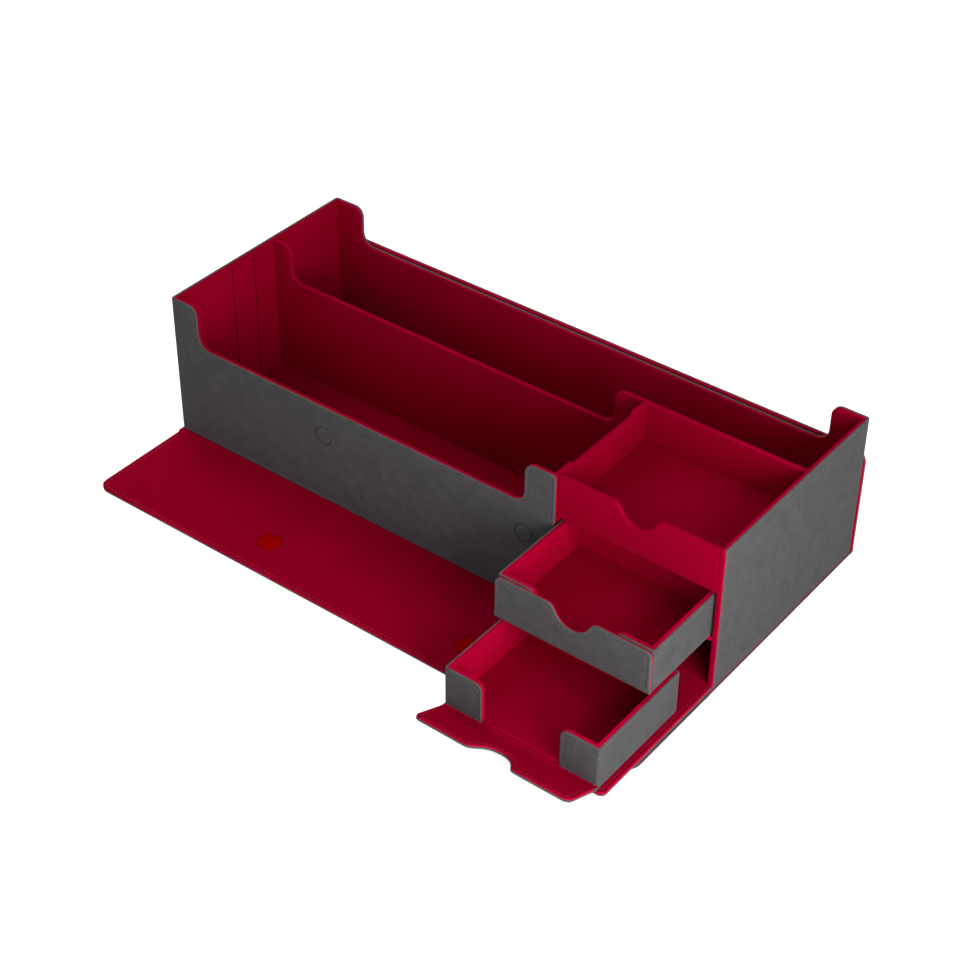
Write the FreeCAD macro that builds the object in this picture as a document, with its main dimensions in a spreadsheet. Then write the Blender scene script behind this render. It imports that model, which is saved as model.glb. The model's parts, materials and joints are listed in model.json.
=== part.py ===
"""Card storage box with two pull-out drawers, a dice tray and a reversible folding cover.

The walls, the floor, the cover and the drawers are stiff boards wrapped in grey suede cloth
outside and lined with red cloth inside. Each wrapped outer board and each lining is a piece.
Folds are round cloth strips that run along the fold's own axis.

Frame: millimetres, +X to the right along the long side, +Y to the back, +Z up. The origin is on
the surface that the box stands on, under the middle of the box.
"""
import FreeCAD, Part
import Sketcher

import math
import os
from types import SimpleNamespace

# Driving sizes
SIZES = {
    "box_length": 430,
    "box_depth": 168,
    "box_height": 106,
    # a wall is its wrapped outer board and its lining
    "outer_board": 1.2,
    "lining_board": 2.4,
    # floor, cover, door and drawer flaps are thinner panels
    "panel_board": 1.4,
    "panel_lining": 1.2,
    "running_gap": 0.3,
    # the front, back and divider dip between raised shoulders
    "front_rim_drop": 31,
    "back_rim_drop": 28.5,
    "shoulder_width": 22.5,
    "back_shoulder_width": 25,
    "shoulder_radius": 7,
    "dip_radius": 9.5,
    "wall_end_radius": 3,
    "front_well_depth": 93.8,
    "divider_thickness": 3.4,
    "divider_drop": 1.2,
    "divider_fin": 14.4,
    "divider_return": 21.5,
    "groove_inset": 51.2,
    "groove_spacing": 21.4,
    "groove_width": 1.2,
    "groove_depth": 0.8,
    # drawer bay and dice tray
    "bay_width": 112.6,
    "bay_wall": 3,
    "slot_headroom": 2.9,
    "bay_wall_end": 15,
    "bay_wall_dip": 2.6,
    "bay_wall_radius": 1.1,
    "notch_mouth": 30,
    "notch_bottom": 14,
    "notch_depth": 12.6,
    "notch_mouth_radius": 5,
    "notch_floor_radius": 12,
    # drawers
    "drawer_depth": 81,
    "drawer_height": 31,
    "drawer_side_gap": 1.6,
    "drawer_lining": 2.8,
    "drawer_corner_radius": 1.6,
    "stub_width": 26.8,
    "stub_radius": 5,
    "drawer_flap_radius": 4.5,
    "upper_drawer_out": 63.6,
    "lower_drawer_inset": 1.4,
    # cover and bay door
    "cover_overhang": 0.2,
    "cover_flap_length": 80.4,
    "cover_corner_radius": 10,
    "door_length": 110.3,
    "door_side_gap": 0.5,
    "door_corner_radius": 4,
    # magnets
    "magnet_radius": 7,
    "magnet_thickness": 1,
    "magnet_pocket_gap": 0.1,
    "magnet_inset": 131,
    "magnet_end_inset": 21.8,
}
# How far the lower drawer's flap is folded open, in degrees from upright
LOWER_FLAP_ANGLE = 65.4
# Two outline points nearer than this are the same corner
SAME_POINT = 0.001

doc = FreeCAD.newDocument("card_storage_box")
sheet = doc.addObject("Spreadsheet::Sheet", "Sizes")
for row, (alias, number) in enumerate(SIZES.items(), start=1):
    sheet.set(f"A{row}", alias)
    sheet.set(f"B{row}", str(number))
    sheet.setAlias(f"B{row}", alias)
doc.recompute()
pieces = []


class Size:
    """A length: the sheet formula that gives it, and its value for a first sketch."""

    def __init__(self, formula, value):
        self.formula = formula
        self.value = value

    def __add__(self, other):
        return Size(f"({self.formula} + {other.formula})", self.value + other.value)

    def __sub__(self, other):
        return Size(f"({self.formula} - {other.formula})", self.value - other.value)

    def __mul__(self, count):
        return Size(f"({self.formula} * {count})", self.value * count)

    def __truediv__(self, count):
        return Size(f"({self.formula} / {count})", self.value / count)

    def __neg__(self):
        return Size(f"(0 - {self.formula})", -self.value)


NOTHING = Size("0", 0)
size = SimpleNamespace(**{
    alias: Size(f"Sizes.{alias}", sheet.get(alias)) for alias in SIZES
})


def place(piece, x, y, z, turn=FreeCAD.Rotation()):
    """Put a piece's own origin at x, y, z, bound to the sizes that give them."""
    piece.Placement = FreeCAD.Placement(FreeCAD.Vector(x.value, y.value, z.value), turn)
    for axis, distance in zip("xyz", (x, y, z)):
        piece.setExpression(f"Placement.Base.{axis}", distance.formula)


def slab(label, x_span, y_span, z_span):
    """A plain rectangular board between two places on each axis."""
    piece = doc.addObject("Part::Box", label)
    for side, (low, high) in zip(("Length", "Width", "Height"), (x_span, y_span, z_span)):
        piece.setExpression(side, (high - low).formula)
    place(piece, x_span[0], y_span[0], z_span[0])
    pieces.append(piece)


def start_sketch(body, name, plane_role, lift):
    """An empty sketch on one of the body's own planes, lifted along the plane's normal."""
    sketch = body.newObject("Sketcher::SketchObject", name)
    plane = next(item for item in body.Origin.OriginFeatures if item.Role == plane_role)
    sketch.AttachmentSupport = [(plane, "")]
    sketch.MapMode = "FlatFace"
    sketch.setExpression("AttachmentOffset.Base.z", lift.formula)
    return sketch


def fix_point(sketch, geometry, point, corner):
    """Tie a point of the sketch to its two sizes."""
    for direction, distance in zip(("DistanceX", "DistanceY"), corner):
        constraint = Sketcher.Constraint(direction, -1, 1, geometry, point, float(distance.value))
        number = sketch.addConstraint(constraint)
        sketch.setExpression(f"Constraints[{number}]", distance.formula)


def draw_outline(sketch, corners):
    """Add a closed outline through corners, each a pair of sizes."""
    first = sketch.GeometryCount
    points = [FreeCAD.Vector(across.value, up.value, 0) for across, up in corners]
    for start, end in zip(points, points[1:] + points[:1]):
        sketch.addGeometry(Part.LineSegment(start, end))
    for step, corner in enumerate(corners):
        following = first + (step + 1) % len(corners)
        sketch.addConstraint(Sketcher.Constraint("Coincident", first + step, 2, following, 1))
        fix_point(sketch, first + step, 1, corner)


def draw_circle(sketch, centre, radius):
    """Add a circle."""
    middle = FreeCAD.Vector(centre[0].value, centre[1].value, 0)
    circle = sketch.addGeometry(Part.Circle(middle, FreeCAD.Vector(0, 0, 1), radius.value))
    fix_point(sketch, circle, 3, centre)
    number = sketch.addConstraint(Sketcher.Constraint("Radius", circle, radius.value))
    sketch.setExpression(f"Constraints[{number}]", radius.formula)


def rectangle(low_across, low_up, high_across, high_up):
    """The four corners of a rectangle."""
    return [(low_across, low_up), (high_across, low_up), (high_across, high_up), (low_across, high_up)]


def pad_outline(body, plane_role, corners, thickness, lift=NOTHING):
    """Pad an outline to its thickness, towards +X, +Y or +Z."""
    sketch = start_sketch(body, f"{body.Name}_outline", plane_role, lift)
    draw_outline(sketch, corners)
    pad = body.newObject("PartDesign::Pad", f"{body.Name}_pad")
    pad.Profile = sketch
    pad.setExpression("Length", thickness.formula)
    pad.Reversed = plane_role == "XZ_Plane"
    doc.recompute()


def pocket(body, sketch, depth):
    """Cut a sketch into the body, against the normal of the sketch's plane."""
    before = body.Shape.Volume
    cut = body.newObject("PartDesign::Pocket", f"{sketch.Name}_pocket")
    cut.Profile = sketch
    cut.setExpression("Length", depth.formula)
    doc.recompute()
    if body.Shape.Volume >= before:
        raise RuntimeError(f"{sketch.Name} cut nothing from {body.Label}")


def round_corners(body, plane_role, corners, radius):
    """Round the edges that stand on the given corners of an outline."""
    axes = {"XY_Plane": (0, 1), "XZ_Plane": (0, 2), "YZ_Plane": (1, 2)}[plane_role]
    wanted = [(across.value, up.value) for across, up in corners]
    square = body.Tip
    names = []
    for number, edge in enumerate(square.Shape.Edges, start=1):
        ends = [tuple(vertex.Point[axis] for axis in axes) for vertex in edge.Vertexes]
        for corner in wanted:
            if all(math.dist(end, corner) < SAME_POINT for end in ends):
                names.append(f"Edge{number}")
    fillet = body.newObject("PartDesign::Fillet", f"{body.Name}_round")
    fillet.Base = (square, names)
    fillet.setExpression("Radius", radius.formula)
    doc.recompute()


def board(label, plane_role, corners, thickness, at, rounds=()):
    """A board cut to an outline, with some of its corners rounded, placed at a point."""
    body = doc.addObject("PartDesign::Body", label)
    pad_outline(body, plane_role, corners, thickness)
    for radius, rounded in rounds:
        round_corners(body, plane_role, rounded, radius)
    place(body, *at)
    pieces.append(body)
    return body


def dipped_outline(length, height, first_end, last_end, drop):
    """A wall of full height at both ends and lower in between."""
    low = height - drop
    return [
        (NOTHING, NOTHING),
        (length, NOTHING),
        (length, height),
        (length - last_end, height),
        (length - last_end, low),
        (first_end, low),
        (first_end, height),
        (NOTHING, height),
    ]


def notched_outline(length, low, high):
    """A panel with a finger notch in the middle of its top edge."""
    middle = length / 2
    mouth = size.notch_mouth / 2
    bottom = size.notch_bottom / 2
    notch_floor = high - size.notch_depth
    return [
        (NOTHING, low),
        (length, low),
        (length, high),
        (middle + mouth, high),
        (middle + bottom, notch_floor),
        (middle - bottom, notch_floor),
        (middle - mouth, high),
        (NOTHING, high),
    ]


def rounded_dip(outline, mouth_radius, floor_radius):
    """The rounds of a dip or a notch in the top edge of an outline, at its mouth and its floor."""
    return [(mouth_radius, [outline[3], outline[6]]), (floor_radius, outline[4:6])]


def hinge_strip(label, x_span, y, z):
    """A round cloth strip along a fold's axis."""
    strip = doc.addObject("Part::Cylinder", label)
    strip.setExpression("Radius", (panel / 2).formula)
    strip.setExpression("Height", (x_span[1] - x_span[0]).formula)
    place(strip, x_span[0], y, z, FreeCAD.Rotation(FreeCAD.Vector(0, 1, 0), 90))
    pieces.append(strip)


def magnet_pair(label, y, z, thickness, turn):
    """Two magnet discs, side by side along X, that stand up from y, z along the turned axis."""
    discs = []
    for number in range(2):
        disc = doc.addObject("Part::Cylinder", f"{label}_disc_{number + 1}")
        disc.setExpression("Radius", size.magnet_radius.formula)
        disc.setExpression("Height", thickness.formula)
        place(disc, left + size.magnet_inset + magnet_spacing * number, y, z, turn)
        discs.append(disc)
    pair = doc.addObject("Part::Compound", label)
    pair.Links = discs
    pieces.append(pair)


def cut_magnet_seats(body, plane_role, first_across, up, depth, lift):
    """Cut the two round seats that a magnet pair sits in."""
    sketch = start_sketch(body, f"{body.Name}_seats", plane_role, lift)
    for number in range(2):
        centre = (first_across + magnet_spacing * number, up)
        draw_circle(sketch, centre, size.magnet_radius + size.magnet_pocket_gap)
    pocket(body, sketch, depth)


# Levels and places that several pieces share
panel = size.panel_board + size.panel_lining
wall = size.outer_board + size.lining_board
left = -size.box_length / 2
right = size.box_length / 2
front = -size.box_depth / 2
back = size.box_depth / 2
base = panel
floor_top = base + panel
rim = base + size.box_height
hinge_reach = panel / 2 + size.running_gap
front_wall_length = size.box_length - wall - size.bay_width
cover_left = left - size.cover_overhang
cover_right = right + size.cover_overhang
cover_width = cover_right - cover_left
bay_left = left + front_wall_length
bay_right = right - wall
bay_front = front + panel + size.running_gap
divider_front = front + wall + size.front_well_depth
slot_height = size.drawer_height + size.running_gap + size.slot_headroom
shelf_low = floor_top + slot_height
shelf_top = shelf_low + size.bay_wall
tray_low = shelf_top + slot_height
magnet_height = base + size.box_height / 2
magnet_reach = magnet_height - panel / 2
magnet_spacing = front_wall_length - size.magnet_inset - size.magnet_end_inset
FACING_BACK = FreeCAD.Rotation(FreeCAD.Vector(1, 0, 0), -90)
FACING_UP = FreeCAD.Rotation()

# Cover: a base panel under the box with a flap along its front and its back edge
fold_front = front - hinge_reach
fold_back = back + hinge_reach
cover_base = (cover_left, cover_right), (front, back)
slab("cover_base", *cover_base, (NOTHING, size.panel_board))
slab("cover_base_lining", *cover_base, (size.panel_board, panel))
for side, fold in (("front", fold_front), ("back", fold_back)):
    hinge_strip(f"cover_{side}_hinge", (cover_left, cover_right), fold, panel / 2)

# Cover's front flap, open on the ground in front of the box
flap_run = size.cover_flap_length - hinge_reach
flap_edge = fold_front - size.cover_flap_length
cover_flap_outline = rectangle(NOTHING, NOTHING, cover_width, flap_run)
front_rounds = [(size.cover_corner_radius, cover_flap_outline[:2])]
board("cover_front_flap", "XY_Plane", cover_flap_outline, size.panel_board,
      (cover_left, flap_edge, NOTHING), front_rounds)
front_lining = board("cover_front_flap_lining", "XY_Plane", cover_flap_outline, size.panel_lining,
                     (cover_left, flap_edge, size.panel_board), front_rounds)
cut_magnet_seats(front_lining, "XY_Plane", size.cover_overhang + size.magnet_inset,
                 size.cover_flap_length - magnet_reach, size.panel_lining, size.panel_lining)
magnet_pair("cover_front_magnets", fold_front - magnet_reach, size.panel_board,
            size.panel_lining, FACING_UP)

# Cover's back flap, folded up against the back wall
back_flap_foot = panel / 2 + hinge_reach
back_rounds = [(size.cover_corner_radius, cover_flap_outline[2:])]
back_lining = board("cover_back_flap_lining", "XZ_Plane", cover_flap_outline, size.panel_lining,
                    (cover_left, fold_back - panel / 2, back_flap_foot), back_rounds)
back_outer = fold_back + panel / 2 - size.panel_board
board("cover_back_flap", "XZ_Plane", cover_flap_outline, size.panel_board,
      (cover_left, back_outer, back_flap_foot), back_rounds)
cut_magnet_seats(back_lining, "XZ_Plane", size.cover_overhang + size.magnet_inset,
                 magnet_height - back_flap_foot, size.panel_lining, NOTHING)
magnet_pair("cover_back_magnets", fold_back - panel / 2, magnet_height,
            size.panel_lining, FACING_BACK)

# Box floor, with its front edge set back at the drawer bay
floor_board_outline = [
    (NOTHING, NOTHING),
    (front_wall_length - size.outer_board, NOTHING),
    (front_wall_length - size.outer_board, bay_front - front - size.outer_board),
    (size.box_length - size.outer_board * 2, bay_front - front - size.outer_board),
    (size.box_length - size.outer_board * 2, size.box_depth - size.outer_board * 2),
    (NOTHING, size.box_depth - size.outer_board * 2),
]
board("floor_board", "XY_Plane", floor_board_outline, size.panel_board,
      (left + size.outer_board, front + size.outer_board, base))
inner_length = size.box_length - wall * 2
front_step = front + wall - bay_front
floor_lining_outline = [
    (NOTHING, front_step),
    (front_wall_length - wall, front_step),
    (front_wall_length - wall, NOTHING),
    (inner_length, NOTHING),
    (inner_length, back - wall - bay_front),
    (NOTHING, back - wall - bay_front),
]
board("floor_lining", "XY_Plane", floor_lining_outline, size.panel_lining,
      (left + wall, bay_front, base + size.panel_board))

# Walls: wrapped boards outside, linings that stand on the floor board inside
lining_foot = base + size.panel_board
lining_height = rim - lining_foot


def dipped_board(label, outline, thickness, at, more_rounds=()):
    """An upright board with rounded shoulders at both ends of its dip."""
    rounds = rounded_dip(outline, size.shoulder_radius, size.dip_radius)
    return board(label, "XZ_Plane", outline, thickness, at, [*rounds, *more_rounds])


def bay_end_round(outline):
    """The round of the top corner where the front wall ends at the drawer bay."""
    return [(size.wall_end_radius, [outline[2]])]


front_outline = dipped_outline(front_wall_length, size.box_height, size.shoulder_width,
                               size.shoulder_width, size.front_rim_drop)
dipped_board("front_wall", front_outline, size.outer_board, (left, front, base),
             bay_end_round(front_outline))
front_lining_outline = dipped_outline(front_wall_length - size.outer_board, lining_height,
                                      size.shoulder_width - size.outer_board, size.shoulder_width,
                                      size.front_rim_drop)
front_wall_lining = dipped_board("front_wall_lining", front_lining_outline, size.lining_board,
                                 (left + size.outer_board, front + size.outer_board, lining_foot),
                                 bay_end_round(front_lining_outline))
back_outline = dipped_outline(size.box_length, size.box_height, size.back_shoulder_width,
                              size.back_shoulder_width, size.back_rim_drop)
dipped_board("back_wall", back_outline, size.outer_board, (left, back - size.outer_board, base))
back_lining_end = size.back_shoulder_width - size.outer_board
back_lining_outline = dipped_outline(size.box_length - size.outer_board * 2, lining_height,
                                     back_lining_end, back_lining_end, size.back_rim_drop)
back_wall_lining = dipped_board("back_wall_lining", back_lining_outline, size.lining_board,
                                (left + size.outer_board, back - wall, lining_foot))
slab("left_end_wall", (left, left + size.outer_board),
     (front + size.outer_board, back - size.outer_board), (base, rim))
right_wall_front = bay_front + size.outer_board
slab("right_end_wall", (right - size.outer_board, right),
     (right_wall_front, back - size.outer_board), (base, rim))

# Left lining, with two shallow upright grooves
inner_depth = size.box_depth - wall * 2
left_lining = board("left_end_lining", "YZ_Plane",
                    rectangle(NOTHING, NOTHING, inner_depth, lining_height), size.lining_board,
                    (left + size.outer_board, front + wall, lining_foot))
groove_sketch = start_sketch(left_lining, "left_end_grooves", "YZ_Plane", size.lining_board)
for number in range(2):
    groove = size.groove_inset + size.groove_spacing * number
    draw_outline(groove_sketch, rectangle(groove, NOTHING, groove + size.groove_width, lining_height))
pocket(left_lining, groove_sketch, size.groove_depth)

# Right lining, which also wraps round the front edge of the right end wall
right_lining_depth = back - wall - bay_front
right_lining_outline = [
    (NOTHING, NOTHING),
    (wall, NOTHING),
    (wall, size.outer_board),
    (size.lining_board, size.outer_board),
    (size.lining_board, right_lining_depth),
    (NOTHING, right_lining_depth),
]
board("right_end_lining", "XY_Plane", right_lining_outline, lining_height,
      (bay_right, bay_front, lining_foot))

# Magnets inside the front and back walls, at half height so that the cover also fits on top
for lining, depth_from in (
    (front_wall_lining, NOTHING),
    (back_wall_lining, -(size.lining_board - size.magnet_thickness)),
):
    cut_magnet_seats(lining, "XZ_Plane", size.magnet_inset - size.outer_board,
                     magnet_height - lining_foot, size.magnet_thickness, depth_from)
magnet_pair("front_wall_magnets", front + size.outer_board, magnet_height,
            size.magnet_thickness, FACING_BACK)
magnet_pair("back_wall_magnets", back - size.outer_board - size.magnet_thickness, magnet_height,
            size.magnet_thickness, FACING_BACK)

# Divider between the card well and the back well
divider_height = rim - size.divider_drop - floor_top
divider_drop = size.back_rim_drop - size.divider_drop
divider_right = size.bay_width + size.bay_wall + size.divider_return
divider_outline = dipped_outline(inner_length, divider_height, size.divider_fin, divider_right,
                                 divider_drop)
dipped_board("divider", divider_outline, size.divider_thickness,
             (left + wall, divider_front, floor_top))

# Drawer bay: side wall, shelf between the drawers, dice tray on top
bay_wall_depth = divider_front - front - wall
bay_wall_outline = dipped_outline(bay_wall_depth, rim - floor_top, size.bay_wall_end,
                                  size.bay_wall_end, size.bay_wall_dip)
board("bay_side_wall", "YZ_Plane", bay_wall_outline, size.bay_wall,
      (bay_left - size.bay_wall, front + wall, floor_top),
      rounded_dip(bay_wall_outline, size.bay_wall_radius, size.bay_wall_radius))
bay_span = (bay_left, bay_right)
slab("drawer_shelf", bay_span, (bay_front, divider_front), (shelf_low, shelf_top))
tray_front_back = bay_front + size.bay_wall
slab("dice_tray_floor", bay_span, (tray_front_back, divider_front), (tray_low, tray_low + panel))
tray_front_outline = notched_outline(size.bay_width, NOTHING, rim - tray_low)
board("dice_tray_front", "XZ_Plane", tray_front_outline, size.bay_wall,
      (bay_left, bay_front, tray_low),
      rounded_dip(tray_front_outline, size.notch_mouth_radius, size.notch_floor_radius))

# Bay door, open on the cover's front flap
door_left = bay_left + size.door_side_gap
door_fold = bay_front - hinge_reach
door_right = right - size.door_side_gap
door_outline = rectangle(NOTHING, NOTHING, door_right - door_left, size.door_length - hinge_reach)
door_rounds = [(size.door_corner_radius, door_outline[:2])]
door_edge = door_fold - size.door_length
board("bay_door", "XY_Plane", door_outline, size.panel_board, (door_left, door_edge, base), door_rounds)
board("bay_door_lining", "XY_Plane", door_outline, size.panel_lining,
      (door_left, door_edge, base + size.panel_board), door_rounds)
hinge_strip("bay_door_hinge", (door_left, door_right), door_fold, base + panel / 2)


def open_tray(label, width, depth, height, wall_board, floor, stub, outer_radius, at):
    """A drawer's shell or lining: open on top, with a gap in its front between two stubs."""
    body = doc.addObject("PartDesign::Body", label)
    footprint = rectangle(NOTHING, NOTHING, width, depth)
    pad_outline(body, "XY_Plane", footprint, height)
    hollow = start_sketch(body, f"{label}_hollow", "XY_Plane", height)
    draw_outline(hollow, rectangle(wall_board, wall_board, width - wall_board, depth - wall_board))
    pocket(body, hollow, height - floor)
    gap = start_sketch(body, f"{label}_gap", "XZ_Plane", NOTHING)
    draw_outline(gap, rectangle(stub, floor, width - stub, height))
    pocket(body, gap, wall_board)
    round_corners(body, "XZ_Plane", [(stub, height), (width - stub, height)], size.stub_radius)
    if outer_radius:
        round_corners(body, "XY_Plane", footprint, outer_radius)
    place(body, *at)
    pieces.append(body)


def flap_panel(label, outline, thickness, lift, at, turn):
    """One layer of a drawer flap, drawn upright above its fold and turned about the fold."""
    body = doc.addObject("PartDesign::Body", label)
    pad_outline(body, "XZ_Plane", outline, thickness, lift)
    for radius, corners in rounded_dip(outline, size.notch_mouth_radius, size.notch_floor_radius):
        round_corners(body, "XZ_Plane", corners, radius)
    round_corners(body, "XZ_Plane", [outline[2], outline[7]], size.drawer_flap_radius)
    place(body, *at, FreeCAD.Rotation(FreeCAD.Vector(1, 0, 0), turn))
    pieces.append(body)


# Drawers: a wrapped tray, its lining, and a front flap that folds down along its bottom edge
drawer_left = bay_left + size.drawer_side_gap
drawer_width = size.bay_width - size.drawer_side_gap * 2
drawer_home = bay_front + size.running_gap * 2 + panel
drawer_flap_outline = notched_outline(drawer_width, hinge_reach, size.drawer_height - panel / 2)
for name, seat, drawer_front, flap_turn in (
    ("upper_drawer", shelf_top, drawer_home - size.upper_drawer_out, 0),
    ("lower_drawer", floor_top, door_edge + size.lower_drawer_inset, LOWER_FLAP_ANGLE),
):
    drawer_low = seat + size.running_gap
    skin = size.outer_board
    open_tray(f"{name}_tray", drawer_width, size.drawer_depth, size.drawer_height, skin, skin,
              size.stub_width, size.drawer_corner_radius, (drawer_left, drawer_front, drawer_low))
    open_tray(f"{name}_lining", drawer_width - skin * 2, size.drawer_depth - skin * 2,
              size.drawer_height - skin, size.drawer_lining, size.panel_lining,
              size.stub_width - skin, None, (drawer_left + skin, drawer_front + skin, drawer_low + skin))
    fold_y = drawer_front - hinge_reach
    fold_z = drawer_low + panel / 2
    hinge_strip(f"{name}_hinge", (drawer_left, drawer_left + drawer_width), fold_y, fold_z)
    fold = (drawer_left, fold_y, fold_z)
    flap_panel(f"{name}_flap", drawer_flap_outline, size.panel_board, panel / 2, fold, flap_turn)
    flap_panel(f"{name}_flap_lining", drawer_flap_outline, size.panel_lining,
               panel / 2 - size.panel_board, fold, flap_turn)

# Check every object, then write one file for each piece
doc.recompute()
for item in doc.Objects:
    if "Invalid" in item.State or "Error" in item.State:
        raise RuntimeError(f"{item.Label} failed: {item.State}")
os.makedirs("parts", exist_ok=True)
for piece in pieces:
    if piece.Shape.isNull() or not piece.Shape.isValid():
        raise RuntimeError(f"{piece.Label} has no valid shape")
    piece.Shape.exportStep(f"parts/{piece.Label}.step")
print(f"{len(pieces)} pieces written")
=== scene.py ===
"""Looks of a card storage box in grey suede cloth with a red lining, sewn along its edges.

Every board of the frame is made again as a wrapped panel with soft edges, in metres and in the
frame's own place, and rides on the body that its board belongs to.
"""
import json
import math

import bmesh
import bpy
from mathutils import Matrix, Vector


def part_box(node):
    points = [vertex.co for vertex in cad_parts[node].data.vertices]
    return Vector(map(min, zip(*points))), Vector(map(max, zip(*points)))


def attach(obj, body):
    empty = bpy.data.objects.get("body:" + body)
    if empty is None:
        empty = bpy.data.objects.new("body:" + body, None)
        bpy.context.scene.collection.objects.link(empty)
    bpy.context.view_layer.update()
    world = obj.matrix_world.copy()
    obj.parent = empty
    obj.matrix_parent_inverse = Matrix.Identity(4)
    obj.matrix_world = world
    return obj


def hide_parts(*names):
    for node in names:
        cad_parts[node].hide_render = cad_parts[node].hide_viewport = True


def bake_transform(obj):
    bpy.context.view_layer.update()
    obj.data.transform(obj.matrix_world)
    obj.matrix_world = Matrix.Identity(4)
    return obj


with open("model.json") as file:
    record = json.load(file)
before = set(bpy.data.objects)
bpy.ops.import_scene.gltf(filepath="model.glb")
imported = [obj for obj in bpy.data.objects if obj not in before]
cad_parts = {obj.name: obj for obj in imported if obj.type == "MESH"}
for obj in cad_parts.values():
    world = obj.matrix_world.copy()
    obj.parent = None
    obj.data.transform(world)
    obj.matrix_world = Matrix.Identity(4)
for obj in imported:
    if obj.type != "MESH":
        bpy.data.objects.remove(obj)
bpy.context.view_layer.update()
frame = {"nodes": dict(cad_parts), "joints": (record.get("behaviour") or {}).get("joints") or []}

# Cover base
# The middle panel of the loose cover lies under the box. It is a stiff board with grey suede cloth
# glued round it and a red lining glued on top, both with soft edges.


def paint(red, green, blue):
    """An sRGB colour, each part from 0 to 255, in the linear light of a shader."""
    parts = [value / 255 for value in (red, green, blue)]
    linear = [part / 12.92 if part < 0.04 else ((part + 0.055) / 1.055) ** 2.4 for part in parts]
    return (*linear, 1)


def new_finish(name):
    """A new material and its shader."""
    finish = bpy.data.materials.new(name)
    finish.use_nodes = True
    return finish, finish.node_tree.nodes["Principled BSDF"]


# The hairs of a nap spread the light and make a fine relief
NAP_ROUGHNESS = 0.92
NAP_SHEEN_ROUGHNESS = 0.45
NAP_RELIEF = 0.5
NAP_DETAIL = 3
# Brushing leaves large clouds with smaller ones on them, and the nap's own grain shows on both
CLOUD_DETAIL = 4
CLOUD_SWIRL = 0.6
SMALL_CLOUDS_ACROSS = 6
SMALL_CLOUD_DETAIL = 3
SMALL_CLOUD_SWIRL = 1.2
SMALL_CLOUD_SHARE = 0.5
NAP_SHARE = 0.5
# Over these values of the clouds: dark to light, whole to worn plus painted highlight, painted crease shade
BRUSHED_RANGE = (0.7, 1.3)
RUBBED_AND_HIGHLIGHT_RANGE = (0.4, 0.9)
CREASE_SHADE_RANGE = (0.2, 0.6)
# Where a Mix node keeps its share, its two colours and the mixed colour
MIX_SHARE, MIX_FIRST, MIX_SECOND, MIX_RESULT = 0, 6, 7, 2


def napped_cloth(name, dark, light, rubbed_and_highlight, crease_shade, cloud, nap, nap_depth, gloss, sheen, sheen_colour):
    """Short-napped cloth: brushed clouds, worn edges with painted highlight, painted shade in creases."""
    material, surface = new_finish(name)
    nodes, links = material.node_tree.nodes, material.node_tree.links
    surface.inputs["Roughness"].default_value = NAP_ROUGHNESS
    surface.inputs["Specular IOR Level"].default_value = gloss
    surface.inputs["Sheen Weight"].default_value = sheen
    surface.inputs["Sheen Roughness"].default_value = NAP_SHEEN_ROUGHNESS
    surface.inputs["Sheen Tint"].default_value = sheen_colour
    place = nodes.new("ShaderNodeTexCoord").outputs["Object"]

    def noise(size, detail, swirl):
        texture = nodes.new("ShaderNodeTexNoise")
        texture.inputs["Scale"].default_value = 1 / size
        texture.inputs["Detail"].default_value = detail
        texture.inputs["Distortion"].default_value = swirl
        links.new(place, texture.inputs["Vector"])
        return texture.outputs["Fac"]

    def spread(value, low, high):
        stretch = nodes.new("ShaderNodeMapRange")
        stretch.inputs["From Min"].default_value = low
        stretch.inputs["From Max"].default_value = high
        links.new(value, stretch.inputs["Value"])
        return stretch.outputs["Result"]

    def sum_of(first, second, share):
        add = nodes.new("ShaderNodeMath")
        add.operation = "MULTIPLY_ADD"
        add.inputs[1].default_value = share
        links.new(second, add.inputs[0])
        links.new(first, add.inputs[2])
        return add.outputs["Value"]

    def mix(share, first, second):
        blend = nodes.new("ShaderNodeMix")
        blend.data_type = "RGBA"
        links.new(share, blend.inputs[MIX_SHARE])
        for colour, socket in ((first, blend.inputs[MIX_FIRST]), (second, blend.inputs[MIX_SECOND])):
            if isinstance(colour, tuple):
                socket.default_value = colour
            else:
                links.new(colour, socket)
        return blend.outputs[MIX_RESULT]

    fine = noise(nap, NAP_DETAIL, 0)
    large = noise(cloud, CLOUD_DETAIL, CLOUD_SWIRL)
    small = noise(cloud / SMALL_CLOUDS_ACROSS, SMALL_CLOUD_DETAIL, SMALL_CLOUD_SWIRL)
    clouds = sum_of(large, small, SMALL_CLOUD_SHARE)
    brushed = sum_of(clouds, fine, NAP_SHARE)

    def along_edges(attribute, low, high):
        share = nodes.new("ShaderNodeAttribute")
        share.attribute_name = attribute
        uneven = nodes.new("ShaderNodeMath")
        uneven.operation = "MULTIPLY"
        links.new(share.outputs["Fac"], uneven.inputs[0])
        links.new(spread(clouds, low, high), uneven.inputs[1])
        return uneven.outputs["Value"]

    ground = mix(spread(brushed, *BRUSHED_RANGE), dark, light)
    # Paler along a rim: partly wear, partly a painted highlight where the edge catches the light
    worn_and_highlit = mix(along_edges("rim", *RUBBED_AND_HIGHLIGHT_RANGE), ground, rubbed_and_highlight)
    # Darker where pressed: painted shade in seam grooves, round the magnets and in the left lining's
    # grooves
    sewn = mix(along_edges("pressed_and_shaded", *CREASE_SHADE_RANGE), worn_and_highlit, crease_shade)
    links.new(sewn, surface.inputs["Base Color"])
    relief = nodes.new("ShaderNodeBump")
    relief.inputs["Strength"].default_value = NAP_RELIEF
    relief.inputs["Distance"].default_value = nap_depth
    links.new(fine, relief.inputs["Height"])
    links.new(relief.outputs["Normal"], surface.inputs["Normal"])
    return material


# Each cloth's rubbed colour is partly wear and partly painted highlight; its crushed colour is painted
# shade
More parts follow.
